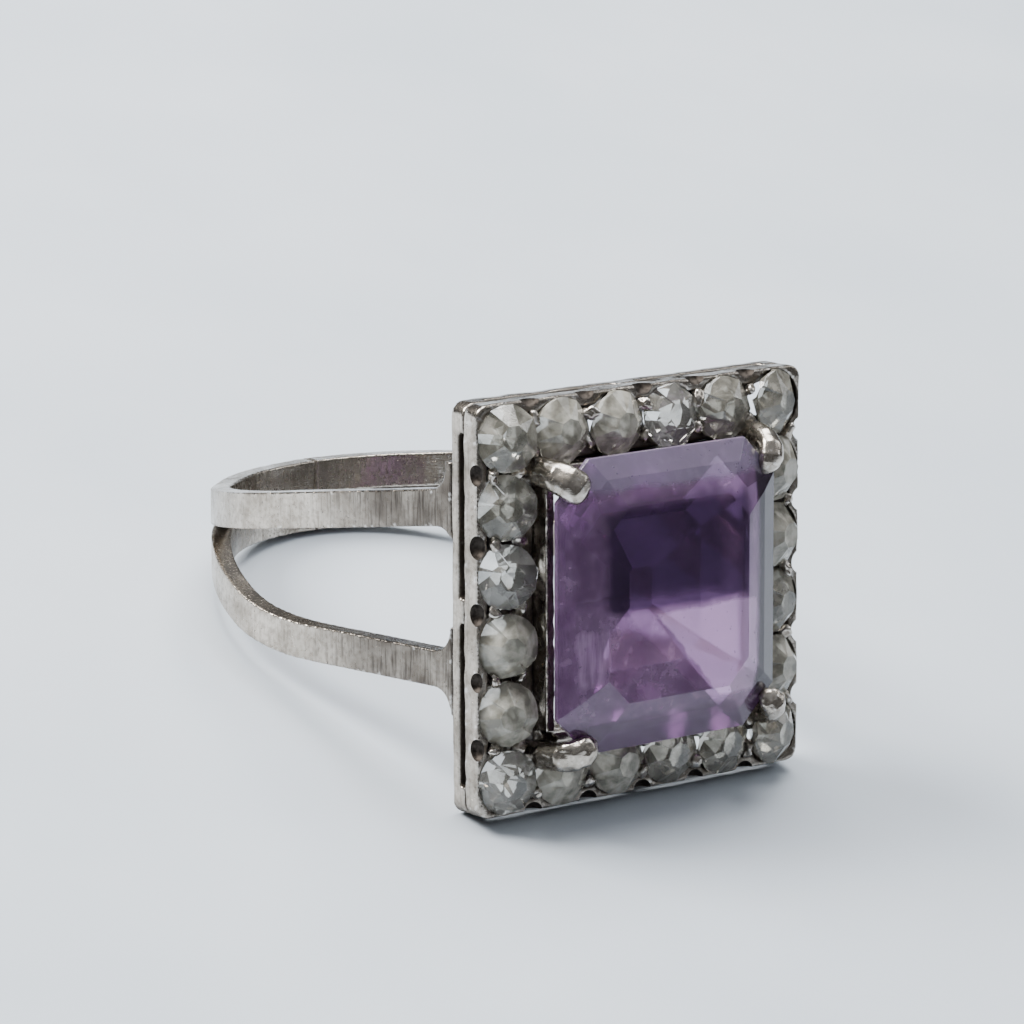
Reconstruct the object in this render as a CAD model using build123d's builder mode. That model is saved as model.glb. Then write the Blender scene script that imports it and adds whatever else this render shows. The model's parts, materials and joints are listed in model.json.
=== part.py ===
from build123d import *
import math
import os

# Cocktail ring in silver: a split shank of flat strips carries a square head. A step-cut
# amethyst stands on four claws over a border of twenty round stones.
#
# Everything is drawn upright, in the ring's own axes: Z is the axis of the finger hole, the
# head faces -Y and X runs to the head's right. The last section leans the finished pieces
# back about X, so that the ring lies as it does on a table, on the head's lower edge and on
# the back of the shank. The origin is the centre of the finger hole. Millimetres.

# Shank
FINGER_BORE = 17.8  # inside diameter
STRIP_THICKNESS = 0.82
STRIP_WIDTH = 1.5
SPINE_GAP = 0.08  # solder line between the two strips along the back
SPINE_SETBACK = 0.12  # how far that solder is set in from the strips' faces
SEAM_WIDTH = 0.12  # solder line across the back, where the shank was closed
SPLIT_Y_UPPER = 6.8  # where each strip leaves the other, seen from the side
SPLIT_Y_LOWER = 6.3
UPPER_REACH = 3.45  # height of the upper strip's middle where it meets the head
LOWER_REACH = 3.2  # depth of the lower strip's middle where it meets the head
LOWER_KNEE_Y = -0.6  # where the lower strip turns level again
LOWER_KNEE_DROP = 0.1  # how far the knee hangs below the end
SPLIT_RADIUS = 9.0  # bend where a strip leaves the back
KNEE_RADIUS = 15.0
FLARE = 1.05  # how far a strip widens each way at the head
FLARE_RADIUS = 0.95
FOOT_THICKNESS = 0.12

# Head
HEAD_DROP = 0.65  # the head's centre sits this far below the middle of the shank
HEAD_STANDOFF = 2.7  # from the finger hole to the back of the gallery
HEAD_CORNER = 0.6  # radius of the head's corners
RAIL_THICKNESS = 0.47  # back rail of the gallery, measured out from the finger
SLOT_HEIGHT = 0.3  # open slots between the back rail and the setting tray
GALLERY_WALL = 0.75
CORNER_PAD = 1.2  # solid corners between the slots
MIDDLE_PAD = 1.0  # solid bridge in the middle of each side
TRAY_FLOOR = 0.5
RIM_HEIGHT = 0.38  # rim above the tray floor
RIM_CUSP = 0.55  # rim between two stones
RIM_AT_STONE = 0.14  # rim left outside each stone
COLLET_WALL = 0.42
COLLET_RISE = 0.45  # collet above the rim
SIDE_CHANNEL = 0.47  # tray floor left open between the stones and the collet's sides
END_CHANNEL = 0.03  # the same at the collet's ends

# Border stones, six to a side and shared at the corners
STONE_DIAMETER = 2.52
STONES_PER_SIDE = 6
STONE_GAP = 0.25  # least gap between neighbours
STONE_GIRDLE = 0.06
STONE_TABLE_SHARE = 0.56
STONE_CROWN = 0.45
PAVILION_SLOPE = 40.0  # degrees below the girdle plane
STONE_PLAY = 0.05  # gap between a stone and the rim's scallop
GRAIN_RADIUS = 0.2
GRAIN_HEIGHT = 0.3
GRAIN_GAP = 0.03  # least gap between a grain and the rim or a claw

# Amethyst
GEM_WIDTH = 11.35
GEM_HEIGHT = 11.95
GEM_CORNER = 1.6  # each cut corner, measured along the sides
GEM_GIRDLE = 0.18
GEM_SIDE_OVERHANG = 0.36  # how far the gem stands past the collet at each side
GEM_END_OVERHANG = 0.35
GEM_CLEARANCE = 0.02  # between the pavilion and the collet's lip
CROWN_STEPS = ((0.15, 26.3), (0.203, 18.3))  # each step's share of the half width, and slope
PAVILION_STEPS = ((0.203, 49.6), (0.308, 37.6), (0.388, 21.1))

# Claws
CLAW_RADIUS = 0.42
CLAW_STANDOFF = 0.08  # between the gem's cut corner and the claw's post
CLAW_REACH = 0.85  # how far a claw leans in over the gem
CLAW_BEND = 0.7
CLAW_GAP = 0.03  # between a claw and the crown or a border stone

# Sizes that follow from those
bore_radius = FINGER_BORE / 2
shank_radius = bore_radius + STRIP_THICKNESS
strip_middle = (STRIP_WIDTH + SPINE_GAP) / 2
head_distance = bore_radius + HEAD_STANDOFF
head_back = Plane(origin=(0, -head_distance, -HEAD_DROP), x_dir=(1, 0, 0), z_dir=(0, -1, 0))
tray_base = RAIL_THICKNESS + SLOT_HEIGHT
floor_top = tray_base + TRAY_FLOOR
rim_top = floor_top + RIM_HEIGHT
collet_top = rim_top + COLLET_RISE
collet_width = GEM_WIDTH - 2 * GEM_SIDE_OVERHANG
collet_height = GEM_HEIGHT - 2 * GEM_END_OVERHANG
stone_radius = STONE_DIAMETER / 2
pavilion_depth = stone_radius * math.tan(math.radians(PAVILION_SLOPE))
grain_offset = stone_radius + RIM_AT_STONE - RIM_CUSP - GRAIN_RADIUS - GRAIN_GAP

# A claw's post stands outside the middle of the gem's cut corner.
post_offset = CLAW_STANDOFF + CLAW_RADIUS
post_x = (GEM_WIDTH - GEM_CORNER) / 2 + post_offset * math.sqrt(0.5)
post_z = (GEM_HEIGHT - GEM_CORNER) / 2 + post_offset * math.sqrt(0.5)

# The border stands clear of the collet and the posts, and no two of its stones touch.
least_half_row = (STONES_PER_SIDE - 1) * (STONE_DIAMETER + STONE_GAP) / 2
post_room = CLAW_RADIUS + CLAW_GAP + stone_radius
column_x = max(collet_width / 2 + SIDE_CHANNEL + stone_radius, post_x + post_room, least_half_row)
pitch_x = 2 * column_x / (STONES_PER_SIDE - 1)
stones_x = [column_x - step * pitch_x for step in range(STONES_PER_SIDE)]
nearest_stone = min(abs(x - post_x) for x in stones_x)
row_past_post = math.sqrt(max(post_room**2 - nearest_stone**2, 0))
row_z = max(collet_height / 2 + END_CHANNEL + stone_radius, post_z + row_past_post, least_half_row)
pitch_z = 2 * row_z / (STONES_PER_SIDE - 1)
head_width = 2 * (column_x + stone_radius + RIM_AT_STONE)
head_height = 2 * (row_z + stone_radius + RIM_AT_STONE)


def gem_steps(steps):
    """Inward run and depth in millimetres of each step of the gem's cut."""
    runs = [share * GEM_WIDTH / 2 for share, slope in steps]
    return [(run, run * math.tan(math.radians(slope))) for run, (share, slope) in zip(runs, steps)]


def depth_at(run):
    """Depth below the girdle at which the gem's pavilion has come in by this run."""
    depth = 0.0
    for step_run, step_depth in gem_steps(PAVILION_STEPS):
        share = min(max(run / step_run, 0.0), 1.0)
        depth += share * step_depth
        run -= step_run
    return depth


# The gem sinks into the collet until its pavilion just clears the lip.
side_run = GEM_WIDTH / 2 - (collet_width / 2 - COLLET_WALL)
end_run = GEM_HEIGHT / 2 - (collet_height / 2 - COLLET_WALL)
lip_depth = depth_at(max(side_run, end_run) + GEM_CLEARANCE)
girdle_level = collet_top + lip_depth + GEM_GIRDLE / 2

pieces = []


def finish(piece, label):
    """Name a finished piece and keep it for export."""
    piece.part.label = label
    pieces.append(piece.part)


def border_places():
    """Centres of the border stones on the head, clockwise from the upper left corner."""
    places = []
    last = STONES_PER_SIDE - 1
    for step in range(last):
        places.append((-column_x + step * pitch_x, row_z))
    for step in range(last):
        places.append((column_x, row_z - step * pitch_z))
    for step in range(last):
        places.append((column_x - step * pitch_x, -row_z))
    for step in range(last):
        places.append((-column_x, -row_z + step * pitch_z))
    return places


# --- Shank ---------------------------------------------------------------------------------

# Seen along the finger, the shank is an arc with two straight legs that run tangent to it
# and end on the back of the gallery, flush with its sides.
middle_radius = (bore_radius + shank_radius) / 2
leg_end_x = head_width / 2 - STRIP_THICKNESS / 2
leg_span = math.hypot(leg_end_x, head_distance)
leg_angle = math.degrees(math.atan2(head_distance, leg_end_x) + math.asin(middle_radius / leg_span))
arc_end = 90 + leg_angle  # counted from +X, on the left side


def leg_foot(radius):
    """Where a leg that is tangent to this radius reaches the gallery, on the left side."""
    angle = math.radians(arc_end)
    start = Vector(radius * math.cos(angle), radius * math.sin(angle))
    along = Vector(-math.sin(angle), math.cos(angle))
    return start + along * ((-head_distance - start.Y) / along.Y)


def shank_plan(side):
    """Half of the shank seen along the finger, from the seam to the gallery."""
    with BuildSketch() as plan:
        with BuildLine():
            outer = CenterArc((0, 0), shank_radius, 90, leg_angle)
            inner = CenterArc((0, 0), bore_radius, 90, leg_angle)
            Line(outer @ 1, leg_foot(shank_radius))
            Line(leg_foot(shank_radius), leg_foot(bore_radius))
            Line(leg_foot(bore_radius), inner @ 1)
            Line(inner @ 0, outer @ 0)
        make_face()
        with Locations((0, bore_radius)):
            Rectangle(SEAM_WIDTH, 2 * STRIP_THICKNESS, align=(Align.CENTER, Align.MIN), mode=Mode.SUBTRACT)
        if side > 0:
            mirror(about=Plane.YZ, mode=Mode.REPLACE)
    return plan.sketch


def strip_points(level):
    """Corners of a strip's middle line seen from the side: level 1 is upper and -1 lower."""
    start = Vector(shank_radius + STRIP_THICKNESS, level * strip_middle)
    if level > 0:
        corners = [Vector(SPLIT_Y_UPPER, strip_middle)]
        foot = Vector(-head_distance, UPPER_REACH)
    else:
        corners = [
            Vector(SPLIT_Y_LOWER, -strip_middle),
            Vector(LOWER_KNEE_Y, -LOWER_REACH - LOWER_KNEE_DROP),
        ]
        foot = Vector(-head_distance, -LOWER_REACH)
    past_foot = foot + (foot - corners[-1]).normalized() * STRIP_THICKNESS
    return [start, *corners, past_foot]


def strip_side(level):
    """Outline of a strip seen from the side, with its flared foot on the gallery."""
    points = strip_points(level)
    bends = [SPLIT_RADIUS] if level > 0 else [SPLIT_RADIUS, KNEE_RADIUS]
    along = (points[-2] - points[-1]).normalized()
    across = Vector(-along.Y, along.X) * (STRIP_WIDTH / 2 + FLARE_RADIUS)
    foot_level = UPPER_REACH if level > 0 else -LOWER_REACH
    foot = Vector(-head_distance, foot_level)
    hollow = foot + along * (FOOT_THICKNESS + FLARE_RADIUS)
    with BuildSketch(Plane.YZ.offset(-head_width)) as outline:
        with Locations(foot):
            foot_height = STRIP_WIDTH + 2 * FLARE
            Rectangle(FOOT_THICKNESS + FLARE_RADIUS, foot_height, align=(Align.MIN, Align.CENTER))
        with Locations(hollow + across, hollow - across):
            Circle(FLARE_RADIUS, mode=Mode.SUBTRACT)
        with BuildLine():
            FilletPolyline(*points, radius=bends)
        trace(line_width=STRIP_WIDTH)
    return outline.sketch


def shank_strip(level, side):
    """One strip of the shank: level 1 is upper and -1 lower, side -1 is left and 1 right."""
    with BuildPart() as strip:
        extrude(shank_plan(side), amount=head_height / 2, both=True)
        extrude(strip_side(level), amount=2 * head_width, dir=(1, 0, 0), mode=Mode.INTERSECT)
    return strip


for level, height_name in ((1, "upper"), (-1, "lower")):
    for side, side_name in ((-1, "left"), (1, "right")):
        finish(shank_strip(level, side), f"{height_name}_{side_name}_strip")

with BuildPart() as seam_solder:
    with BuildSketch(Plane.XY):
        with Locations((0, bore_radius)):
            Rectangle(SEAM_WIDTH, STRIP_THICKNESS, align=(Align.CENTER, Align.MIN))
    extrude(amount=strip_middle + STRIP_WIDTH / 2, both=True)
    split(bisect_by=Plane.XY.offset(SPINE_GAP / 2))
    mirror(about=Plane.XY)
finish(seam_solder, "back_seam_solder")

# The solder between the strips is a thin crescent, set in a little from both faces.
spine_end = max(SPLIT_Y_UPPER, SPLIT_Y_LOWER)
with BuildPart() as spine_solder:
    with BuildSketch(Plane.XY):
        Circle(shank_radius - SPINE_SETBACK)
        Circle(bore_radius + SPINE_SETBACK, mode=Mode.SUBTRACT)
        with Locations((0, spine_end)):
            Rectangle(4 * shank_radius, 4 * shank_radius, align=(Align.CENTER, Align.MAX), mode=Mode.SUBTRACT)
    extrude(amount=SPINE_GAP / 2, both=True)
finish(spine_solder, "spine_solder")


# --- Head ----------------------------------------------------------------------------------

def slot_places(length_along, half_across):
    """Centre and length of the two slots on each of two opposite sides."""
    slot_length = length_along / 2 - CORNER_PAD - MIDDLE_PAD / 2
    centre = MIDDLE_PAD / 2 + slot_length / 2
    places = [(way * centre, side * half_across) for way in (-1, 1) for side in (-1, 1)]
    return places, slot_length


# The gallery is a square rail on the finger's side. Eight pads carry the tray, so that long
# narrow slots stay open between them.
with BuildPart() as gallery:
    with BuildSketch(head_back):
        RectangleRounded(head_width, head_height, HEAD_CORNER)
        Rectangle(head_width - 2 * GALLERY_WALL, head_height - 2 * GALLERY_WALL, mode=Mode.SUBTRACT)
    extrude(amount=tray_base)
    with BuildSketch(head_back.offset(RAIL_THICKNESS)):
        level_places, level_length = slot_places(head_width, head_height / 2)
        with Locations(*level_places):
            Rectangle(level_length, 4 * GALLERY_WALL)
        upright_places, upright_length = slot_places(head_height, head_width / 2)
        with Locations(*[(across, along) for along, across in upright_places]):
            Rectangle(4 * GALLERY_WALL, upright_length)
    extrude(amount=SLOT_HEIGHT, mode=Mode.SUBTRACT)
finish(gallery, "gallery_frame")


def claw_corner(side, level):
    """Plane through one cut corner of the gem: x runs outwards and y away from the finger."""
    corner = (side * (GEM_WIDTH - GEM_CORNER) / 2, level * (GEM_HEIGHT - GEM_CORNER) / 2)
    outwards = Vector(side, 0, level).normalized()
    return Plane(
        origin=head_back.from_local_coords(Vector(*corner)),
        x_dir=outwards,
        z_dir=outwards.cross(head_back.z_dir),
    )


crown_level = girdle_level + GEM_GIRDLE / 2
tip_slope = math.tan(math.radians(CROWN_STEPS[0][1]))
crown_lift = (CLAW_RADIUS + CLAW_GAP) * math.hypot(1, tip_slope)
bend_level = crown_level + crown_lift - post_offset * tip_slope


def claw_shape(side, level):
    """A round claw: a post on the tray's floor, bent in over the gem's cut corner."""
    corner = claw_corner(side, level)
    with BuildPart() as claw:
        with BuildLine(corner):
            path = FilletPolyline(
                (post_offset, floor_top),
                (post_offset, bend_level),
                (post_offset - CLAW_REACH, bend_level + CLAW_REACH * tip_slope),
                radius=CLAW_BEND,
            )
        start = Plane(origin=path @ 0, z_dir=head_back.z_dir)
        with BuildSketch(start):
            Circle(CLAW_RADIUS)
        sweep(path=path)
        with Locations(path @ 1):
            Sphere(CLAW_RADIUS)
    return claw


claws = []
claw_feet = []
for side, side_name in ((-1, "left"), (1, "right")):
    for level, height_name in ((1, "upper"), (-1, "lower")):
        claw = claw_shape(side, level)
        finish(claw, f"claw_{height_name}_{side_name}")
        claws.append(claw.part)
        foot = head_back.to_local_coords(claw_corner(side, level).from_local_coords((post_offset, 0)))
        claw_feet.append(Vector(foot.X, foot.Y))

# The setting tray: a floor with a conical seat for every border stone, inside a rim that is
# scalloped round the stones.
places = border_places()
scallop_radius = stone_radius + STONE_PLAY
with BuildPart() as tray:
    with BuildSketch(head_back.offset(tray_base)):
        RectangleRounded(head_width, head_height, HEAD_CORNER)
        Rectangle(collet_width, collet_height, mode=Mode.SUBTRACT)
    extrude(amount=TRAY_FLOOR + RIM_HEIGHT)
    with BuildSketch(head_back.offset(floor_top)):
        Rectangle(head_width - 2 * RIM_CUSP, head_height - 2 * RIM_CUSP)
        with Locations(*places):
            Circle(scallop_radius)
    extrude(amount=RIM_HEIGHT, mode=Mode.SUBTRACT)
    seat_bottom = stone_radius * (1 - TRAY_FLOOR / pavilion_depth)
    with Locations(head_back.offset(floor_top)):
        with Locations(*places):
            Cone(
                seat_bottom,
                stone_radius,
                TRAY_FLOOR,
                align=(Align.CENTER, Align.CENTER, Align.MAX),
                mode=Mode.SUBTRACT,
            )
finish(tray, "setting_tray")

# Grains raised from the tray floor, two between each pair of stones, save where a claw stands.
claw_room = CLAW_RADIUS + GRAIN_RADIUS + GRAIN_GAP
with BuildPart() as grains:
    grain_places = []
    for index, (x, z) in enumerate(places):
        next_x, next_z = places[(index + 1) % len(places)]
        along = Vector(next_x - x, next_z - z).normalized()
        across = Vector(-along.Y, along.X) * grain_offset
        middle = Vector((x + next_x) / 2, (z + next_z) / 2)
        for place in (middle + across, middle - across):
            if all((place - foot).length > claw_room for foot in claw_feet):
                grain_places.append(place)
    with Locations(head_back.offset(floor_top)):
        with Locations(*grain_places):
            Cylinder(GRAIN_RADIUS, GRAIN_HEIGHT, align=(Align.CENTER, Align.CENTER, Align.MIN))
    domes = grains.faces().filter_by(Axis.Y).sort_by(Axis.Y)[: len(grain_places)]
    fillet(domes.edges(), GRAIN_RADIUS * 0.8)
finish(grains, "setting_grains")

# The collet is a plain rectangular wall round the opening. Its corners are notched for the
# claws, which stand in them.
with BuildPart() as collet:
    with BuildSketch(head_back):
        Rectangle(collet_width, collet_height)
        Rectangle(collet_width - 2 * COLLET_WALL, collet_height - 2 * COLLET_WALL, mode=Mode.SUBTRACT)
    extrude(amount=collet_top)
    add(claws, mode=Mode.SUBTRACT)
finish(collet, "collet")


def gem_outline(width, height, corner):
    """Corners of a rectangle with its own corners cut at 45 degrees."""
    half_x = width / 2
    half_z = height / 2
    points = []
    for side, level in ((1, 1), (-1, 1), (-1, -1), (1, -1)):
        on_side = (side * half_x, level * (half_z - corner))
        on_end = (side * (half_x - corner), level * half_z)
        points += [on_side, on_end] if side * level > 0 else [on_end, on_side]
    return points


def gem_sections():
    """Level, inward run and corner cut of every outline of the gem, from culet to table."""
    crown = girdle_level + GEM_GIRDLE / 2
    sections = [(crown, 0.0)]
    for run, rise in gem_steps(CROWN_STEPS):
        crown += rise
        sections.append((crown, sections[-1][1] + run))
    pavilion = girdle_level - GEM_GIRDLE / 2
    below = [(pavilion, 0.0)]
    for run, depth in gem_steps(PAVILION_STEPS):
        pavilion -= depth
        below.append((pavilion, below[-1][1] + run))
    return below[::-1] + sections


with BuildPart() as gem:
    for level, run in gem_sections():
        share = 1 - run / (GEM_WIDTH / 2)
        with BuildSketch(head_back.offset(level)):
            outline = gem_outline(GEM_WIDTH - 2 * run, GEM_HEIGHT - 2 * run, GEM_CORNER * share)
            Polygon(*outline, align=None)
    loft(ruled=True)
finish(gem, "amethyst")

for number, (x, z) in enumerate(places, start=1):
    with BuildPart() as stone:
        with Locations(head_back.offset(floor_top)):
            with Locations((x, z)):
                Cone(0, stone_radius, pavilion_depth, align=(Align.CENTER, Align.CENTER, Align.MAX))
                Cylinder(stone_radius, STONE_GIRDLE, align=(Align.CENTER, Align.CENTER, Align.MIN))
                with Locations((0, 0, STONE_GIRDLE)):
                    Cone(
                        stone_radius,
                        stone_radius * STONE_TABLE_SHARE,
                        STONE_CROWN,
                        align=(Align.CENTER, Align.CENTER, Align.MIN),
                    )
    finish(stone, f"border_stone_{number:02d}")


# --- Rest ----------------------------------------------------------------------------------

# The ring leans until the head's lower back edge and the back of the shank are level.
head_low = HEAD_DROP + head_height / 2
shank_low = strip_middle + STRIP_WIDTH / 2
lean = math.degrees(math.atan2(head_low - shank_low, head_distance + shank_radius))

os.makedirs("parts", exist_ok=True)
for piece in pieces:
    laid_down = piece.rotate(Axis.X, -lean)
    laid_down.label = piece.label
    export_step(laid_down, f"parts/{piece.label}.step")
    print(f"{piece.label}: {len(piece.solids())} solid, {piece.volume:.3f} cubic mm")
culet_y = -head_distance - gem_sections()[0][0]
print(f"lean {lean:.2f} degrees, girdle level {girdle_level:.2f}, culet at y {culet_y:.2f}")
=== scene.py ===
"""Silver cocktail ring: a split shank, a square head with twenty old round stones, and a
step-cut amethyst on four claws, lying on a pale surface in soft studio light."""

from __future__ import annotations

import json
import logging
import math
import random
from dataclasses import dataclass
from enum import Enum
from functools import partial, reduce

import bpy
from mathutils import Matrix, Vector

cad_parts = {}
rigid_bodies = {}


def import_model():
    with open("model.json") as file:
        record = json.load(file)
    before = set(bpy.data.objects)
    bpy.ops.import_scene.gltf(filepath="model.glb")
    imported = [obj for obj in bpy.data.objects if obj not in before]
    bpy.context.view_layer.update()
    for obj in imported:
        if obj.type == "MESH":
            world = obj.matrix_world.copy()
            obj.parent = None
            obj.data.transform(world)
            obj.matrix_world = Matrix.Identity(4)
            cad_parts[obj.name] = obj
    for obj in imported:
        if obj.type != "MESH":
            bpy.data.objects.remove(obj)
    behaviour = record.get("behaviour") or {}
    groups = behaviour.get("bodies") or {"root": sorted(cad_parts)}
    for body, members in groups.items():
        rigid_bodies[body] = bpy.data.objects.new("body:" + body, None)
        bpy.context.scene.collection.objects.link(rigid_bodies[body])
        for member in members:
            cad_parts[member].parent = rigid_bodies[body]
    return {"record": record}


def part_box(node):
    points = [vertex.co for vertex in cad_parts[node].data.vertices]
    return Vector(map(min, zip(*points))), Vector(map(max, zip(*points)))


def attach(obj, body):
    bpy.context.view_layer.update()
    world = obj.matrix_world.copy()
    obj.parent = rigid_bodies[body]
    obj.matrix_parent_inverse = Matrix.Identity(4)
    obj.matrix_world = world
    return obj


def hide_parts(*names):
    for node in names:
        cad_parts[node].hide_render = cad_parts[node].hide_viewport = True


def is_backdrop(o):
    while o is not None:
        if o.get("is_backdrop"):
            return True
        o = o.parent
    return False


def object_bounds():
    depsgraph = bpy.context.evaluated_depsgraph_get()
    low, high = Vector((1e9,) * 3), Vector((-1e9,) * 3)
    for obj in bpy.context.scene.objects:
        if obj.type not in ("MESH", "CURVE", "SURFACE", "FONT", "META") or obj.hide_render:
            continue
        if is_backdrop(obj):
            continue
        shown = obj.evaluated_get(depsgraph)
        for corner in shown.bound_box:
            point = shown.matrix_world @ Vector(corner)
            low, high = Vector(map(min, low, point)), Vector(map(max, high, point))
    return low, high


MM = 0.001
PATTERN_STEP = (0.013, 0.007)
LOG = logging.getLogger("ring")
Piece, Finish = bpy.types.Object, bpy.types.Material
Socket, Tree = bpy.types.NodeSocket, bpy.types.NodeTree
Colour = tuple[float, float, float, float]
Span = tuple[float, float]


# --- Working by hand ------------------------------------------------------------------------


def deselect() -> None:
    """Leave edit mode and clear the selection."""
    if bpy.context.object and bpy.context.object.mode != "OBJECT":
        bpy.ops.object.mode_set(mode="OBJECT")
    bpy.ops.object.select_all(action="DESELECT")


def pick(*pieces: Piece) -> Piece:
    """Select these pieces alone.

    Args:
        pieces: what to select; the first becomes the active one.

    Returns:
        The active piece.
    """
    deselect()
    for piece in pieces:
        piece.select_set(True)
    bpy.context.view_layer.objects.active = pieces[0]
    return pieces[0]


def added(name: str) -> Piece:
    """Name the primitive that was just added.

    Args:
        name: the new name.

    Returns:
        The new object.
    """
    piece = bpy.context.object
    piece.name = name
    piece.data.name = name
    return piece


def settle(piece: Piece, matrix: Matrix | None = None) -> Piece:
    """Put a piece in place and move that place into its mesh.

    Args:
        piece: the piece.
        matrix: where it goes, or None to keep its own transform.

    Returns:
        The same piece, at the origin.
    """
    if matrix is not None:
        piece.matrix_world = matrix @ piece.matrix_world
    pick(piece)
    bpy.ops.object.transform_apply(location=True, rotation=True, scale=True)
    return piece


def joined(name: str, *pieces: Piece) -> Piece:
    """Join pieces into the first of them.

    Args:
        name: the joined piece's name.
        pieces: the pieces.

    Returns:
        The joined piece.
    """
    pick(*pieces)
    if len(pieces) > 1:
        bpy.ops.object.join()
    return added(name)


def own_copy(piece: Piece, name: str) -> Piece:
    """Copy a piece with a mesh of its own.

    Args:
        piece: what to copy.
        name: the copy's name.

    Returns:
        The copy.
    """
    pick(piece)
    bpy.ops.object.duplicate(linked=False)
    return added(name)


def from_node(node: str, name: str) -> Piece:
    """Copy a CAD node and merge the copy's loose triangles into one skin.

    Args:
        node: the CAD node.
        name: the new piece's name.

    Returns:
        The merged copy, which rides on nothing yet.
    """
    source = bpy.data.objects[node]
    piece = bpy.data.objects.new(name, source.data.copy())
    bpy.context.scene.collection.objects.link(piece)
    pick(piece)
    bpy.ops.object.mode_set(mode="EDIT")
    bpy.ops.mesh.select_all(action="SELECT")
    bpy.ops.mesh.remove_doubles(threshold=0.0005 * MM)
    bpy.ops.mesh.dissolve_limited(angle_limit=math.radians(0.3))
    bpy.ops.object.mode_set(mode="OBJECT")
    piece.data.materials.clear()
    return added(name)


def modify(piece: Piece, kind: str, **settings: object) -> None:
    """Add a modifier, set it and apply it.

    Args:
        piece: the piece.
        kind: the modifier's type.
        settings: its settings by name.
    """
    pick(piece)
    modifier = piece.modifiers.new(kind.lower(), kind)
    for key, value in settings.items():
        setattr(modifier, key, value)
    bpy.ops.object.modifier_apply(modifier=modifier.name)


def soften(piece: Piece, voxel: float, passes: int, keep: float) -> None:
    """Turn crisp, overlapping solids into one worn skin, as filing and polishing leave it.

    Args:
        piece: the piece, of closed solids.
        voxel: size of the new skin's faces.
        passes: rounds of smoothing.
        keep: share of the faces that is kept.
    """
    modify(piece, "REMESH", mode="VOXEL", voxel_size=voxel, adaptivity=0.0)
    modify(piece, "SMOOTH", factor=0.5, iterations=passes)
    if keep < 1:
        modify(piece, "DECIMATE", ratio=keep)
        modify(piece, "SMOOTH", factor=0.4, iterations=2)
    shade(piece, 50)


def shade(piece: Piece, angle: float) -> None:
    """Shade smooth across edges flatter than an angle in degrees."""
    pick(piece)
    bpy.ops.object.shade_smooth_by_angle(angle=math.radians(angle))


def ripple(piece: Piece, size: float, height: float, seed: int) -> None:
    """Move a piece's skin in and out a little, as hammering and wear do.

    Args:
        piece: the piece, finely meshed.
        size: width of one ripple.
        height: how far the skin moves at most.
        seed: which ripple pattern.
    """
    texture = bpy.data.textures.new(f"{piece.name}_ripple", "CLOUDS")
    texture.noise_scale = size
    texture.noise_depth = 1
    reference = bpy.data.objects.new(f"{piece.name}_ripple_centre", None)
    reference.location = (seed * PATTERN_STEP[0], seed * PATTERN_STEP[1], 0)
    bpy.context.scene.collection.objects.link(reference)
    modify(
        piece, "DISPLACE", texture=texture, strength=height, mid_level=0.5,
        texture_coords="OBJECT", texture_coords_object=reference,
    )
    bpy.data.objects.remove(reference)
@dataclass(frozen=True)
class SkinWear:
    """How far a piece's skin has worn.

    Attributes:
        voxel: size of the worn skin's faces.
        passes: rounds of smoothing.
        keep: share of the faces that is kept.
        dent: width of one dent.
        depth: how far the dents move the skin at most.
    """

    voxel: float
    passes: int
    keep: float
    dent: float
    depth: float

    def wear_down(self, piece: Piece, seed: int) -> None:
        """Soften and dent a piece."""
        soften(piece, self.voxel, self.passes, self.keep)
        ripple(piece, self.dent, self.depth, seed)
def finish_piece(
    piece: Piece, material: Finish, slot: str, *nodes: str
) -> None:
    """Dress a finished piece and tie it to the frame.

    Args:
        piece: the piece.
        material: its finish.
        slot: the record's material slot; not used.
        nodes: the CAD nodes that it stands for.
    """
    piece.data.materials.clear()
    piece.data.materials.append(material)
    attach(piece, "root")
    if nodes:
        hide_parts(*nodes)
    LOG.info("%s: %d faces", piece.name, len(piece.data.polygons))


# --- The ring's axes -------------------------------------------------------------------------


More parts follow.
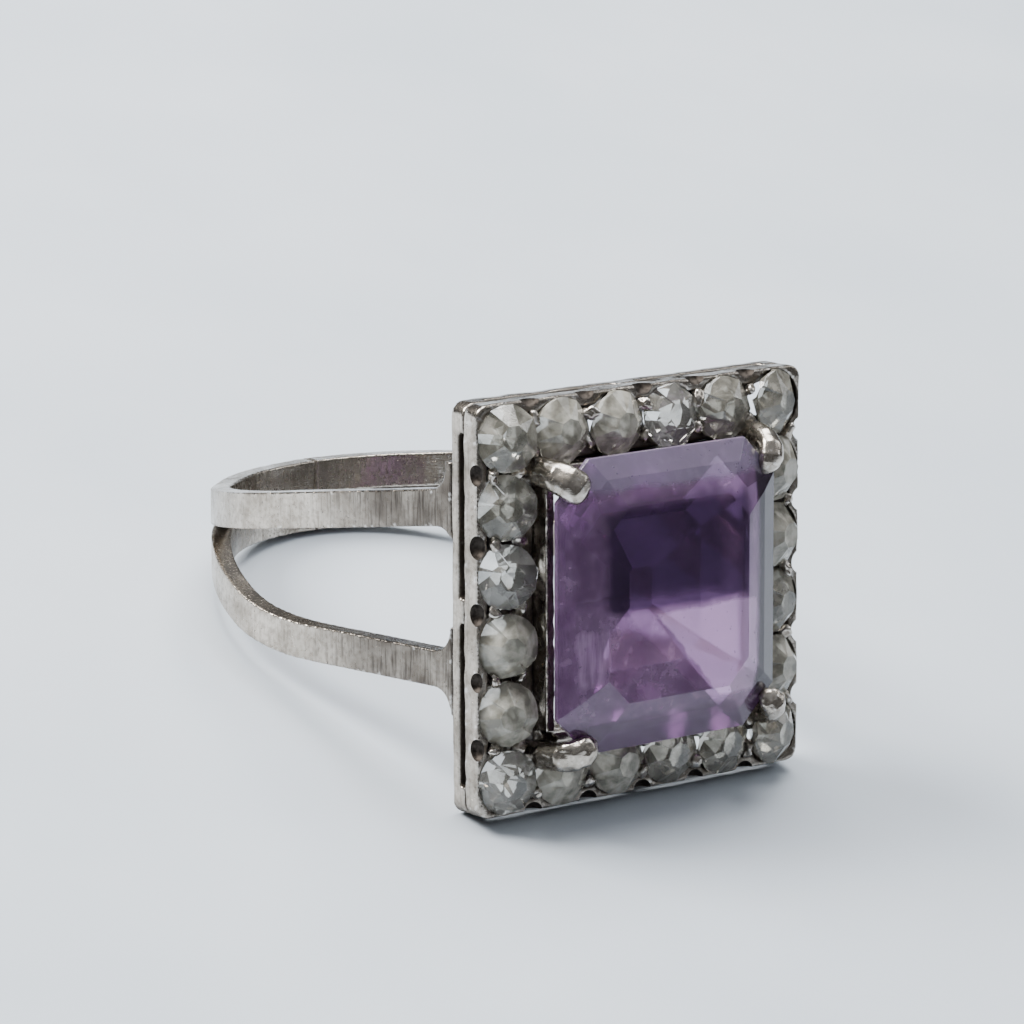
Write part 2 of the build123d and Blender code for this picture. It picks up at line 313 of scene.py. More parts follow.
@dataclass(frozen=True)
class RingAxes:
    """The ring's own upright axes, as they lean when it lies on a table.

    Attributes:
        lean: how far the ring leans back, in radians.
        head: centre of the gallery's back, where the head's levels start.
    """

    lean: float
    head: Vector

    @classmethod
    def of_frame(cls, record: dict) -> RingAxes:
        """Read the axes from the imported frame.

        Args:
            record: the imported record.

        Returns:
            The axes.
        """
        bore = next(m for m in record["mounts"] if m["name"] == "finger_bore")
        axis = bore["axis"]
        lean = math.atan2(axis[1], axis[2])
        out = Vector((0, -math.cos(lean), math.sin(lean)))
        low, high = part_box("gallery_frame")
        depth = cls.upright_size(lean, "gallery_frame").z
        return cls(lean, (low + high) / 2 - out * depth / 2)

    @staticmethod
    def upright_size(lean: float, node: str) -> Vector:
        """Measure a block-shaped node along the ring's own axes.

        Args:
            lean: the lean in radians.
            node: the node.

        Returns:
            Width across, height up and depth out.
        """
        low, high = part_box(node)
        span = high - low
        across = math.cos(2 * lean)
        height = (span.z * math.cos(lean) - span.y * math.sin(lean)) / across
        depth = (span.y * math.cos(lean) - span.z * math.sin(lean)) / across
        return Vector((span.x, height, depth))

    @property
    def up(self) -> Vector:
        """Along the finger, towards the head's upper edge."""
        return Vector((0, math.sin(self.lean), math.cos(self.lean)))

    @property
    def out(self) -> Vector:
        """Away from the finger, out of the head's face."""
        return Vector((0, -math.cos(self.lean), math.sin(self.lean)))

    def on_head(self, x: float = 0.0, y: float = 0.0, level: float = 0.0) -> Matrix:
        """Axes at a place on the head: x across, y up and z out of its face.

        Args:
            x: across from the head's centre.
            y: up from it.
            level: out from the gallery's back.

        Returns:
            The matrix from those axes to the row's.
        """
        origin = self.head + Vector((x, 0, 0)) + self.up * y + self.out * level
        turn = Matrix((Vector((1, 0, 0)), self.up, self.out)).transposed()
        return Matrix.Translation(origin) @ turn.to_4x4()


# --- Materials -------------------------------------------------------------------------------


class Sketch:
    """A node tree being drawn, from left to right."""

    def __init__(self, tree: Tree) -> None:
        """Start on a tree."""
        self.tree = tree

    def feed(self, node: bpy.types.Node, inputs: dict) -> None:
        """Set or link a node's inputs.

        Args:
            node: the node.
            inputs: values or sockets, by the input's name or number.
        """
        for key, value in inputs.items():
            if isinstance(value, Socket):
                self.tree.links.new(value, node.inputs[key])
            else:
                node.inputs[key].default_value = value

    def add(self, kind: str, inputs: dict | None = None, **settings: object) -> bpy.types.Node:
        """Add a node.

        Args:
            kind: the node's type.
            inputs: values or sockets for its inputs, by name or number.
            settings: its own settings.

        Returns:
            The node.
        """
        node = self.tree.nodes.new(kind)
        for key, value in settings.items():
            setattr(node, key, value)
        self.feed(node, inputs or {})
        return node

    def noise(self, vector: Socket, scale: float, detail: float = 2.0) -> Socket:
        """Noise from 0 to 1.

        Args:
            vector: the coordinates.
            scale: features per unit.
            detail: layers of finer noise.

        Returns:
            The noise value.
        """
        node = self.add("ShaderNodeTexNoise", {"Vector": vector, "Scale": scale, "Detail": detail})
        return node.outputs["Fac"]

    def remap(
        self, value: Socket, low: float, high: float, to_low: float = 0.0, to_high: float = 1.0
    ) -> Socket:
        """Map a range of values to another, clamped.

        Args:
            value: the value.
            low: start of the range.
            high: end of the range.
            to_low: what the start becomes.
            to_high: what the end becomes.

        Returns:
            The new value.
        """
        names = {"Value": value, "From Min": low, "From Max": high, "To Min": to_low, "To Max": to_high}
        return self.add("ShaderNodeMapRange", names).outputs["Result"]

    def math(self, operation: str, *values: object) -> Socket:
        """One step of arithmetic.

        Args:
            operation: the operation's name.
            values: its values or sockets.

        Returns:
            The result.
        """
        return self.add("ShaderNodeMath", dict(enumerate(values)), operation=operation).outputs[0]

    def times(self, *values: object) -> Socket:
        """The product of values and sockets."""
        return reduce(partial(self.math, "MULTIPLY"), values)

    def plus(self, *values: object) -> Socket:
        """The sum of values and sockets."""
        return reduce(partial(self.math, "ADD"), values)

    def blend(self, share: object, one: object, two: object) -> Socket:
        """Mix two colours.

        Args:
            share: how much of the second.
            one: the first colour.
            two: the second colour.

        Returns:
            The mixed colour.
        """
        inputs = {0: share, 6: one, 7: two}
        return self.add("ShaderNodeMix", inputs, data_type="RGBA").outputs[2]

    def spot(self, lean: float, scale: tuple[float, float, float]) -> Socket:
        """Object coordinates turned upright with the ring and stretched, in millimetres.

        Args:
            lean: the ring's lean in radians.
            scale: stretch along the ring's own axes.

        Returns:
            The coordinates.
        """
        where = self.add("ShaderNodeTexCoord").outputs["Object"]
        upright = self.add("ShaderNodeMapping", {"Vector": where, "Rotation": (lean, 0, 0)})
        sizes = tuple(value / MM for value in scale)
        stretch = {"Vector": upright.outputs["Vector"], "Scale": sizes}
        return self.add("ShaderNodeMapping", stretch).outputs["Vector"]


def new_group(name: str, inputs: dict[str, float], outputs: dict[str, str]) -> Sketch:
    """Start a shader node group with named sockets.

    Args:
        name: the group's name.
        inputs: its inputs, all numbers, with their usual values.
        outputs: its outputs and their socket types.

    Returns:
        The sketch of the group's tree, with nodes named in and out.
    """
    tree = bpy.data.node_groups.new(name, "ShaderNodeTree")
    for label, value in inputs.items():
        socket = tree.interface.new_socket(label, in_out="INPUT", socket_type="NodeSocketFloat")
        socket.default_value = value
    for label, kind in outputs.items():
        tree.interface.new_socket(label, in_out="OUTPUT", socket_type=kind)
    sketch = Sketch(tree)
    sketch.add("NodeGroupInput", name="in")
    sketch.add("NodeGroupOutput", name="out")
    return sketch


class SilverTone(Enum):
    """Colours of old silver, from the bare metal to grime and rubbed edges. The grime tone also serves as
    painted shade in recesses, the tarnished brown as a painted dark reflection near the gallery, and the
    rubbed tone as a painted highlight.
    """

    COOL = (0.60, 0.56, 0.505, 1)
    WARM = (0.57, 0.51, 0.435, 1)
    PATINA = (0.27, 0.235, 0.19, 1)
    CLOUD = (0.16, 0.132, 0.105, 1)
    TARNISH = (0.075, 0.062, 0.051, 1)
    FILE_MARK = (0.045, 0.038, 0.032, 1)
    PIT = (0.12, 0.10, 0.09, 1)
    GRIME = (0.055, 0.045, 0.038, 1)
    RUBBED = (0.78, 0.755, 0.72, 1)


def worn_silver_group(lean: float) -> Tree:
    """Wear and painted light on old silver: patina, pits, fine scratches and file marks; grime with painted
    shade in the recesses; tarnishing with a painted dark reflection; rubbed edges with a painted highlight.

    Args:
        lean: the ring's lean in radians.

    Returns:
        The group.
    """
    inputs = dict.fromkeys(("Edge", "Hollow", "Tarnish"), 0.0)
    inputs |= {"Open": 1.0, "File Marks": 0.3, "Dirt": 0.8, "Warmth": 0.5}
    outputs = {"Color": "NodeSocketColor", "Roughness": "NodeSocketFloat", "Height": "NodeSocketFloat"}
    group = new_group("worn_silver", inputs, outputs)
    given = group.tree.nodes["in"].outputs
    plain = group.spot(lean, (1, 1, 1))
    patina = group.remap(group.noise(plain, 0.9, 3.0), 0.35, 0.7)
    blotch = group.remap(group.noise(plain, 5.0, 4.0), 0.42, 0.68)
    pits = group.remap(group.noise(plain, 9.0, 2.0), 0.69, 0.75)
    filed = group.noise(group.spot(lean, (9, 9, 0.7)), 1.0, 3.0)
    scratch = group.noise(group.spot(lean, (2.5, 2.5, 24)), 1.0, 2.0)
    depth = group.plus(given["File Marks"], group.times(given["Tarnish"], 0.8))
    marks = group.times(group.remap(filed, 0.48, 0.68), depth)
    # Grime with painted shade: darker where ambient occlusion finds walls close by, and in concave hollows.
    closed = group.remap(given["Open"], 0.25, 0.95, 1.0, 0.0)
    grime_and_shade_share = group.times(group.math("MAXIMUM", closed, given["Hollow"]), given["Dirt"])
    # Layers of wear and painted light: grime that is also painted shade, tarnishing that is also a painted
    # dark reflection, and rubbed edges that are also a painted highlight.
    layers = (
        (group.times(patina, 0.75), SilverTone.PATINA),
        (group.times(blotch, 0.45), SilverTone.CLOUD),
        (given["Tarnish"], SilverTone.TARNISH),
        (group.times(marks, 0.9), SilverTone.FILE_MARK),
        (pits, SilverTone.PIT),
        (grime_and_shade_share, SilverTone.GRIME),
        (given["Edge"], SilverTone.RUBBED),
    )
    colour = group.blend(given["Warmth"], SilverTone.COOL.value, SilverTone.WARM.value)
    for share, tone in layers:
        colour = group.blend(share, colour, tone.value)
    rough = group.plus(
        group.remap(patina, 0.0, 1.0, 0.15, 0.28), group.times(blotch, 0.08),
        group.times(marks, 0.25), group.times(grime_and_shade_share, 0.35),
    )
    relief = group.plus(
        group.times(marks, -0.5), group.times(scratch, 0.18),
        group.times(pits, -1.0), group.times(patina, 0.5),
    )
    group.feed(group.tree.nodes["out"], {"Color": colour, "Roughness": rough, "Height": relief})
    return group.tree


def new_material(name: str) -> tuple[Finish, Sketch, bpy.types.Node]:
    """Start a material.

    Args:
        name: its name.

    Returns:
        The material, the sketch of its tree, and its Principled shader.
    """
    material = bpy.data.materials.new(name)
    material.use_nodes = True
    sketch = Sketch(material.node_tree)
    return material, sketch, material.node_tree.nodes["Principled BSDF"]


@dataclass(frozen=True)
class SilverFinish:
    """One piece's share of wear and painted light on old silver.

    Attributes:
        name: the material's name.
        file_marks: depth of the file marks across a strip.
        tarnish_and_reflection: how brown and dark the silver goes beside the gallery, tarnishing with a
            painted dark reflection.
        grime_and_shade: how dark its recesses are, grime with painted shade.
        warmth: from white to warm grey.
        reach: how far off a wall the grime and painted shade darken a recess.
        edge: how brightly its edges are rubbed, with a painted highlight along them.
        relief: height of the bump.
        tarnish_and_reflection_span: where the tarnishing and painted dark reflection start and where they are
            full, forward of the bore's axis, in mm.
    """

    name: str
    file_marks: float = 0.3
    tarnish_and_reflection: float = 0.0
    grime_and_shade: float = 0.8
    warmth: float = 0.6
    reach: float = 0.6 * MM
    edge: float = 0.6
    relief: float = 0.02 * MM
    tarnish_and_reflection_span: Span = (-3.0, -7.6)

    def make(self, wear: Tree, lean: float) -> Finish:
        """Build the material.

        Args:
            wear: the worn silver group.
            lean: the ring's lean in radians.

        Returns:
            The material.
        """
        material, sketch, shader = new_material(self.name)
        place = sketch.spot(lean, (1, 1, 1))
        # Darker and browner towards the gallery: tarnishing with a painted dark reflection.
        forward = sketch.add("ShaderNodeSeparateXYZ", {0: place}).outputs["Y"]
        patches = sketch.remap(sketch.noise(place, 0.6, 2.0), 0.3, 0.6, 0.55, 1.0)
        # Ambient occlusion and concave curvature place the grime and painted shade in recesses.
        opening = sketch.add("ShaderNodeAmbientOcclusion", {"Distance": self.reach}, samples=6)
        # Curvature: convex for the rubbed edges with their painted highlight, concave for the grime with
        # painted shade.
        bend = sketch.add("ShaderNodeNewGeometry").outputs["Pointiness"]
        shares = {
            "Open": opening.outputs["AO"],
            "Edge": sketch.remap(bend, 0.53, 0.64, 0.0, self.edge),
            "Hollow": sketch.remap(bend, 0.49, 0.44),
            "File Marks": self.file_marks,
            "Dirt": self.grime_and_shade,
            "Warmth": self.warmth,
            "Tarnish": sketch.times(sketch.remap(forward, *self.tarnish_and_reflection_span, 0.0, self.tarnish_and_reflection), patches),
        }
        worn = sketch.add("ShaderNodeGroup", shares, node_tree=wear).outputs
        bump = {"Height": worn["Height"], "Distance": self.relief, "Strength": 1.0}
        relief = sketch.add("ShaderNodeBump", bump)
        looks = {"Base Color": worn["Color"], "Roughness": worn["Roughness"], "Metallic": 1.0}
        sketch.feed(shader, looks | {"Normal": relief.outputs["Normal"]})
        return material


@dataclass(frozen=True)
class SolderAndShadeFinish:
    """Dull, darkened metal, as solder in a joint; in the filed nicks it is near-black painted shade.

    Attributes:
        name: the material's name.
        dark: its darkest colour.
        light: its lightest colour.
    """

    name: str = "old_solder"
    dark: Colour = (0.10, 0.085, 0.07, 1)
    light: Colour = (0.30, 0.26, 0.21, 1)

    def make(self) -> Finish:
        """Build the material.

        Returns:
            The material.
        """
        material, sketch, shader = new_material(self.name)
        place = sketch.spot(0.0, (1, 1, 1))
        mottle = sketch.remap(sketch.noise(place, 6.0, 4.0), 0.35, 0.7)
        colour = sketch.blend(mottle, self.dark, self.light)
        rough = sketch.remap(mottle, 0.0, 1.0, 0.45, 0.65)
        sketch.feed(shader, {"Base Color": colour, "Roughness": rough, "Metallic": 1.0})
        return material


@dataclass(frozen=True)
class Zone:
    """A straight-edged patch of colour in the gem, measured from the head's middle in millimetres. The gem's
    zones are painted shade and painted reflections.

    Each border is the span from where the colour is absent to where it is full.

    Attributes:
        colour: its colour.
        most: how far it covers what is under it.
        across: its borders to the left and right.
        up: its lower and upper borders.
    """

    colour: Colour
    most: float = 1.0
    across: tuple[Span, ...] = ()
    up: tuple[Span, ...] = ()

    def share(self, sketch: Sketch, across: Socket, height: Socket, *others: Socket) -> Socket:
        """Work out how much of the zone's colour a place has.

        Args:
            sketch: the material's sketch.
            across: how far to the right the place is.
            height: how far up it is.
            others: what else limits the zone.

        Returns:
            The share, from 0 to 1.
        """
        sides = [sketch.remap(across, *span) for span in self.across]
        levels = [sketch.remap(height, *span) for span in self.up]
        return sketch.times(self.most, *sides, *levels, *others)


@dataclass(frozen=True)
class AmethystFinish:
    """Slightly hazy violet quartz, with straight-edged zones of painted shade and painted reflections over
    its body colour.

    Attributes:
        name: the material's name.
        middle: colour of the body.
        pale: colour of its veils, and of the painted reflections in the lit patch and the wedge.
        speck: colour of its small inclusions.
        absorbed: colour that passes best through the stone.
        density: how strongly the stone absorbs, per metre.
        clear: share of light that passes through.
        refraction: the stone's index.
        drift: how far the zones' borders wander.
        right_shade: painted shade on the crown along the right side.
        bottom_shade: painted shade on the crown along the bottom.
        top_reflection: a painted reflection on the crown along the top.
        lit: the streaked, lit patch at the left.
        wedge: a painted reflection, the pale wedge at the lower right.
        wedge_slope: how steeply the wedge's long side falls to the right.
        wedge_line: the span of that side.
        dark: painted shade, the dark zone across the upper half.
    """

    name: str = "amethyst_quartz"
    middle: Colour = (0.245, 0.13, 0.265, 1)
    pale: Colour = (0.77, 0.51, 0.80, 1)
    speck: Colour = (0.16, 0.10, 0.2, 1)
    absorbed: Colour = (0.64, 0.32, 0.66, 1)
    density: float = 110.0
    clear: float = 0.62
    refraction: float = 1.544
    drift: float = 0.5
    # Painted shade on the crown along the right side.
    right_shade: Zone = Zone((0.06, 0.045, 0.07, 1), 0.95, across=((4.2, 4.5),))
    # Painted shade on the crown along the bottom.
    bottom_shade: Zone = Zone((0.13, 0.06, 0.14, 1), 0.75, up=((-4.5, -4.8),))
    # A painted reflection on the crown along the top.
    top_reflection: Zone = Zone((0.50, 0.46, 0.62, 1), 0.6, up=((4.5, 4.8),))
    # Painted reflections: the streaked, lit patch at the left and the pale wedge at the lower right.
    lit: Zone = Zone(pale, 1.0, ((-5.05, -4.9), (-3.6, -3.8)), ((-3.3, -3.0), (-0.8, -1.0)))
    wedge: Zone = Zone(pale, 1.0, ((4.35, 4.15),), ((-4.4, -4.2), (-0.45, -0.60)))
    wedge_slope: float = 0.86
    wedge_line: Span = (-1.62, -1.48)
    # Painted shade across the upper half.
    dark: Zone = Zone(
        (0.048, 0.026, 0.072, 1), 0.96, ((-4.0, -3.5), (4.0, 3.5)), ((-0.45, -0.15), (4.4, 3.7))
    )

    def make(self, axes: RingAxes) -> Finish:
        """Build the material.

        Args:
            axes: the ring's axes.

        Returns:
            The material.
        """
        material, sketch, shader = new_material(self.name)
        place = sketch.spot(axes.lean, (1, 1, 1))
        drift = sketch.times(sketch.math("SUBTRACT", sketch.noise(place, 0.8, 4.0), 0.5), self.drift)
        apart = sketch.add("ShaderNodeSeparateXYZ", {0: place})
        across = sketch.plus(apart.outputs["X"], drift)
        height = sketch.math("SUBTRACT", apart.outputs["Z"], axes.head.dot(axes.up) / MM)
        height = sketch.plus(height, drift)
        beside = sketch.plus(across, sketch.times(height, self.wedge_slope))
        long_side = sketch.remap(beside, *self.wedge_line)
        # Streaks in the painted reflection at the left.
        grain = sketch.noise(sketch.spot(axes.lean, (6, 6, 0.8)), 1.0, 3.0)
        streaks = sketch.remap(grain, 0.35, 0.65, 0.15, 0.75)
        veil = sketch.remap(sketch.noise(place, 0.5, 3.0), 0.35, 0.65)
        feathers = sketch.remap(sketch.noise(place, 2.4, 6.0), 0.48, 0.72, 0.0, 0.3)
        colour = sketch.blend(sketch.plus(sketch.times(veil, 0.25), feathers), self.middle, self.pale)
        zones = {
            self.right_shade: (), self.bottom_shade: (), self.top_reflection: (), self.lit: (streaks,), self.wedge: (long_side,),
            self.dark: (),
        }
        # Lay the zones of painted shade and painted reflections over the body colour.
        for zone, others in zones.items():
            colour = sketch.blend(zone.share(sketch, across, height, *others), colour, zone.colour)
        specks = sketch.remap(sketch.noise(place, 5.0, 3.0), 0.67, 0.71)
        colour = sketch.blend(sketch.times(specks, 0.5), colour, self.speck)
        worn = sketch.remap(sketch.noise(place, 1.6, 4.0), 0.3, 0.8, 0.04, 0.14)
        looks = {"Base Color": colour, "Roughness": worn}
        sketch.feed(shader, looks | {"Transmission Weight": self.clear, "IOR": self.refraction})
        inside = {"Color": self.absorbed, "Density": self.density}
        volume = sketch.add("ShaderNodeVolumeAbsorption", inside)
        sketch.feed(sketch.tree.nodes["Material Output"], {"Volume": volume.outputs["Volume"]})
        return material


@dataclass(frozen=True)
class PasteFinish:
    """Old cut glass, more or less clouded.

    Attributes:
        name: the material's name.
        clear: share of light that passes through.
        tone: its usual colour.
        milk: the colour of its clouds.
        rough: how dull its polish is.
        refraction: the glass's index.
    """

    name: str
    clear: float
    tone: Colour
    milk: Colour
    rough: float
    refraction: float = 1.58

    def make(self) -> Finish:
        """Build the material.

        Returns:
            The material.
        """
        material, sketch, shader = new_material(self.name)
        place = sketch.spot(0.0, (1, 1, 1))
        clouds = sketch.remap(sketch.noise(place, 1.6, 5.0), 0.40, 0.62)
        worn = sketch.remap(sketch.noise(place, 3.0, 3.0), 0.3, 0.75, self.rough * 0.5, self.rough * 1.6)
        looks = {"Base Color": sketch.blend(clouds, self.tone, self.milk), "Roughness": worn}
        sketch.feed(shader, looks | {"Transmission Weight": self.clear, "IOR": self.refraction})
        return material


class Paste(Enum):
    """How an old border stone has aged."""

    CLOUDED = PasteFinish("paste_clouded", 0.46, (0.29, 0.275, 0.225, 1), (0.68, 0.65, 0.56, 1), 0.16)
    WORN = PasteFinish("paste_worn", 0.64, (0.24, 0.228, 0.19, 1), (0.58, 0.555, 0.48, 1), 0.10)
    CLEAR = PasteFinish("paste_clear", 0.85, (0.50, 0.49, 0.45, 1), (0.72, 0.71, 0.66, 1), 0.05)


# --- Studio ----------------------------------------------------------------------------------


@dataclass(frozen=True)
class Lamp:
    """A square soft light.

    Attributes:
        name: its name.
        place: where it hangs.
        size: its side.
        power: in watts.
        colour: of its light.
    """

    name: str
    place: tuple[float, float, float]
    size: float
    power: float
    colour: tuple[float, float, float]

    def hang(self, target: Vector) -> None:
        """Hang the lamp, turned to a point.

        Args:
            target: the point.
        """
        data = bpy.data.lights.new(self.name, "AREA")
        data.shape = "SQUARE"
        data.size = self.size
        data.energy = self.power
        data.color = self.colour
        lamp = bpy.data.objects.new(self.name, data)
        lamp.location = self.place
        lamp.rotation_euler = (target - Vector(self.place)).to_track_quat("-Z", "Y").to_euler()
        bpy.context.scene.collection.objects.link(lamp)


@dataclass(frozen=True)
class Studio:
    """Pale floor, soft light and the camera.

    Attributes:
        azimuth: the camera's direction round the upright ring, in degrees.
        elevation: its height over the upright ring, in degrees.
        roll: its turn about its own axis, in degrees.
        distance: from the aimed point.
        aim_right: the aimed point, right of the point at the head's level on the bore's axis.
        aim_up: the aimed point, above that point.
        lens: focal length in millimetres, on the sensor.
        sensor: its width in millimetres.
        floor_size: side of the floor.
        floor_tones: its darker and lighter colour.
        lamps: the soft lights.
        room_low: the room's colour at the horizon.
        room_high: the same overhead.
        backdrop: what the camera sees of the room.
        room_light: the room's brightness.
    """

    azimuth: float = -38.5
    elevation: float = 10.69
    roll: float = -0.18
    distance: float = 211.9 * MM
    aim_right: float = 3.01 * MM
    aim_up: float = 1.19 * MM
    lens: float = 175.78
    sensor: float = 36.0
    floor_size: float = 1.6
    floor_tones: tuple[Colour, Colour] = ((0.535, 0.595, 0.665, 1), (0.595, 0.65, 0.715, 1))
    lamps: tuple[Lamp, ...] = (
        Lamp("window", (-0.20, 0.20, 0.26), 0.18, 3.3, (1.0, 0.985, 0.96)),
        Lamp("card", (0.30, -0.06, 0.20), 0.18, 0.3, (0.93, 0.96, 1.0)),
        Lamp("overhead", (0.07, 0.14, 0.36), 0.27, 2.5, (1.0, 1.0, 1.0)),
    )
    room_low: Colour = (0.17, 0.163, 0.162, 1)
    room_high: Colour = (0.78, 0.81, 0.86, 1)
    backdrop: Colour = (0.55, 0.57, 0.60, 1)
    room_light: float = 0.48

    def camera(self, axes: RingAxes) -> None:
        """Set the camera.

        Args:
            axes: the ring's axes.
        """
        azimuth, elevation = math.radians(self.azimuth), math.radians(self.elevation)
        flat = math.cos(elevation)
        back = Vector((math.sin(azimuth) * flat, -math.cos(azimuth) * flat, math.sin(elevation)))
        right = Vector((0, 0, 1)).cross(back).normalized()
        up = back.cross(right)
        roll = Matrix.Rotation(math.radians(self.roll), 3, back)
        right, up = roll @ right, roll @ up
        place = right * self.aim_right + up * self.aim_up + back * self.distance
        lean = Matrix.Rotation(-axes.lean, 3, "X")
        head_level = axes.up * axes.head.dot(axes.up)
        turn = lean @ Matrix((right, up, back)).transposed()
        data = bpy.data.cameras.new("camera")
        data.lens = self.lens
        data.sensor_width = self.sensor
        data.clip_start = 0.01
        data.clip_end = 10.0
        camera = bpy.data.objects.new("camera", data)
        camera.matrix_world = Matrix.Translation(lean @ place + head_level) @ turn.to_4x4()
        bpy.context.scene.collection.objects.link(camera)
        bpy.context.scene.camera = camera

    def floor(self, level: float) -> None:
        """Lay the floor.

        Args:
            level: its height.
        """
        deselect()
        bpy.ops.mesh.primitive_plane_add(size=self.floor_size, location=(0, 0, level))
        floor = added("floor")
        material, sketch, shader = new_material("pale_surface")
        place = sketch.spot(0.0, (1, 1, 1))
        mottle = sketch.remap(sketch.noise(place, 0.06, 3.0), 0.3, 0.7)
        sketch.feed(shader, {"Base Color": sketch.blend(mottle, *self.floor_tones), "Roughness": 0.55})
        floor.data.materials.append(material)
        settle(floor)
        floor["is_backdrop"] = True

    def light(self, axes: RingAxes) -> None:
        """Hang the soft lights and the sky.

        Args:
            axes: the ring's axes.
        """
        for lamp in self.lamps:
            lamp.hang(axes.head)
        world = bpy.data.worlds.new("soft_room")
        bpy.context.scene.world = world
        world.use_nodes = True
        sketch = Sketch(world.node_tree)
        direction = sketch.add("ShaderNodeTexCoord").outputs["Generated"]
        height = sketch.add("ShaderNodeSeparateXYZ", {0: direction}).outputs["Z"]
        glow = sketch.math("POWER", sketch.remap(height, 0.05, 0.85), 1.4)
        room = sketch.blend(glow, self.room_low, self.room_high)
        seen = sketch.add("ShaderNodeLightPath").outputs["Is Camera Ray"]
        shown = sketch.blend(seen, room, self.backdrop)
        sketch.feed(world.node_tree.nodes["Background"], {"Color": shown, "Strength": self.room_light})


# --- Shank -----------------------------------------------------------------------------------


@dataclass
class Shank:
    """Four flat strips and the solder that joins them at the back.

    Attributes:
        axes: the ring's axes.
        edge: width of the worn bevel along the strips.
        skin: wear on their faces.
        names: the strips' CAD nodes.
        joints: the solder's CAD nodes.
    """

    axes: RingAxes
    edge: float = 0.10 * MM
    skin: SkinWear = SkinWear(0.06 * MM, 4, 1.0, 1.6 * MM, 0.03 * MM)
    names: tuple[str, ...] = (
        "upper_left_strip", "upper_right_strip", "lower_left_strip", "lower_right_strip",
    )
    joints: tuple[str, ...] = ("back_seam_solder", "spine_solder")

    def build(self, wear: Tree) -> None:
        """Make and dress the shank.

        Args:
            wear: the worn silver group.
        """
        # Darker and browner towards the gallery, tarnishing with a painted dark reflection; grime with
        # painted shade in recesses; rubbed edges with a painted highlight.
        silver = SilverFinish("shank_silver", file_marks=0.22, tarnish_and_reflection=0.95, grime_and_shade=0.6, edge=0.5)
        finish = silver.make(wear, self.axes.lean)
        for seed, node in enumerate(self.names):
            strip = from_node(node, f"{node}_worn")
            modify(
                strip, "BEVEL", width=self.edge, segments=3, limit_method="ANGLE",
                angle_limit=math.radians(40),
            )
            self.skin.wear_down(strip, seed)
            finish_piece(strip, finish, "silver_shank", node)
        solder = SolderAndShadeFinish().make()
        for node in self.joints:
            piece = bpy.data.objects[node]
            piece.data.materials.clear()
            piece.data.materials.append(solder)
            LOG.info("%s: dressed", node)


# --- Head ------------------------------------------------------------------------------------


@dataclass
class BorderPlace:
    """Where a border stone stands on the head.

    Attributes:
        node: its CAD node.
        x: across from the head's centre.
        y: up from it.
    """

    node: str
    x: float
    y: float


def border_places(axes: RingAxes) -> list[BorderPlace]:
    """Read the border stones' places from the frame.

    Args:
        axes: the ring's axes.

    Returns:
        The places in the order of the nodes' numbers.
    """
    middles = []
    for number in range(1, 21):
        low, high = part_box(f"border_stone_{number:02d}")
        middles.append((low + high) / 2)
    mean = sum(middles, Vector()) / len(middles)
    places = []
    for number, middle in enumerate(middles, start=1):
        offset = middle - mean
        places.append(BorderPlace(f"border_stone_{number:02d}", offset.x, offset.dot(axes.up)))
    return places


